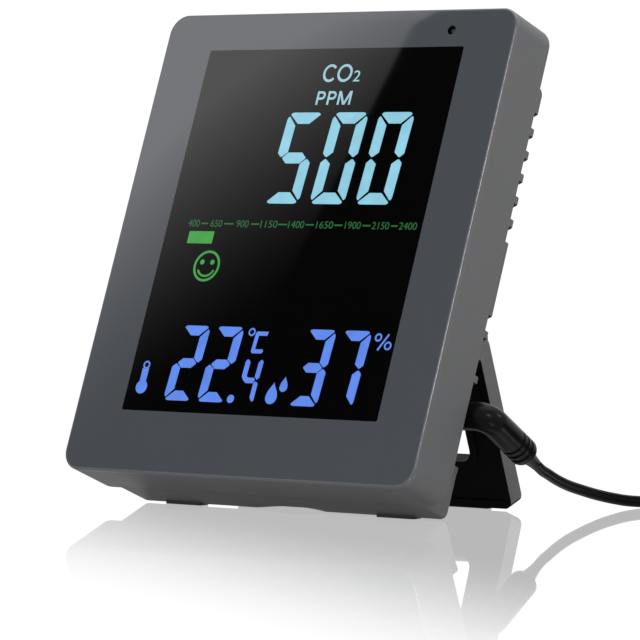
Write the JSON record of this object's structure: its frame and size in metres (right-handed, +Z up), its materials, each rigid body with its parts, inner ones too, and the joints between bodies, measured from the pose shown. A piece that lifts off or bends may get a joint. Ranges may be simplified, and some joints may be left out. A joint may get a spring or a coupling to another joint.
{
  "type": "carbon dioxide monitor",
  "caption": "Desktop carbon dioxide monitor: glossy display panel in a leaning housing with louvred rear, fold-out stand and plugged-in power lead with mains adapter.",
  "frame": {"origin": "on the table, under the middle of the monitor's own box", "axes": "+Z up, the display faces -Y, +X to the right as seen from the front"},
  "size_m": [0.2435, 0.1405, 0.1561],
  "materials": {
    "front_gloss": "reverse-printed clear acrylic, high gloss, cool dark grey border round a black window",
    "housing_plastic": "fine-textured charcoal moulding",
    "smoked_window": "smoked film, almost black",
    "black_plastic": "black moulding",
    "white_plastic": "white diffuser and membrane",
    "circuit_board": "green solder mask",
    "steel": "zinc-plated steel",
    "plated_metal": "bright nickel plate",
    "gold_plating": "gold-plated sensor can",
    "rubber": "black rubber pad",
    "cable_jacket": "black flexible jacket, semi-gloss",
    "plug_plastic": "black moulded, semi-gloss"
  },
  "bodies": {
    "housing": {"front_lens": "front_gloss", "front_shell": "housing_plastic", "display_filter": "smoked_window", "segment_module": "black_plastic", "display_board": "circuit_board", "display_screw_1": "steel", "display_screw_2": "steel", "display_screw_3": "steel", "display_screw_4": "steel", "status_led": "white_plastic", "light_pipe": "smoked_window", "rear_cover": "housing_plastic", "case_screw_1": "steel", "case_screw_2": "steel", "case_screw_3": "steel", "case_screw_4": "steel", "housing_foot_left": "rubber", "housing_foot_right": "rubber", "main_board": "circuit_board", "board_screw_1": "steel", "board_screw_2": "steel", "board_screw_3": "steel", "board_screw_4": "steel", "board_connector": "black_plastic", "sensor_board": "circuit_board", "gas_chamber": "gold_plating", "gas_membrane": "white_plastic", "buzzer": "black_plastic", "controller_chip": "black_plastic", "capacitor_1": "plated_metal", "capacitor_2": "plated_metal", "climate_board": "circuit_board", "climate_sensor": "black_plastic", "dc_jack": "black_plastic", "button_switch_1": "black_plastic", "button_switch_2": "black_plastic", "button_switch_3": "black_plastic", "dc_plug_body": "plug_plastic", "dc_plug_barrel": "plated_metal", "plug_strain_relief": "cable_jacket", "hinge_pin_left": "steel", "hinge_pin_right": "steel", "cord": "cable_jacket", "cord_tail": "cable_jacket", "cord_coil": "cable_jacket", "cord_tie": "cable_jacket", "adapter_base": "plug_plastic", "adapter_cover": "plug_plastic", "adapter_pin_1": "plated_metal", "adapter_pin_2": "plated_metal", "adapter_relief": "cable_jacket"},
    "stand": {"stand": "housing_plastic", "stand_foot_left": "rubber", "stand_foot_right": "rubber"},
    "button_1": {"button_1": "housing_plastic"},
    "button_2": {"button_2": "housing_plastic"},
    "button_3": {"button_3": "housing_plastic"}
  },
  "joints": [
    {"name": "stand_fold", "type": "hinge", "parent": "housing", "child": "stand", "pos_m": [0, 0.01521, 0.05432], "axis": [1, 0, 0], "range_deg": [-41, 0]},
    {"name": "button_1_press", "type": "slide", "parent": "housing", "child": "button_1", "axis": [0, -0.9311, 0.3649], "range_m": [0, 0.0006], "stiffness_N_per_m": 400, "springref_m": -0.002},
    {"name": "button_2_press", "type": "slide", "parent": "housing", "child": "button_2", "axis": [0, -0.9311, 0.3649], "range_m": [0, 0.0006], "stiffness_N_per_m": 400, "springref_m": -0.002},
    {"name": "button_3_press", "type": "slide", "parent": "housing", "child": "button_3", "axis": [0, -0.9311, 0.3649], "range_m": [0, 0.0006], "stiffness_N_per_m": 400, "springref_m": -0.002}
  ]
}
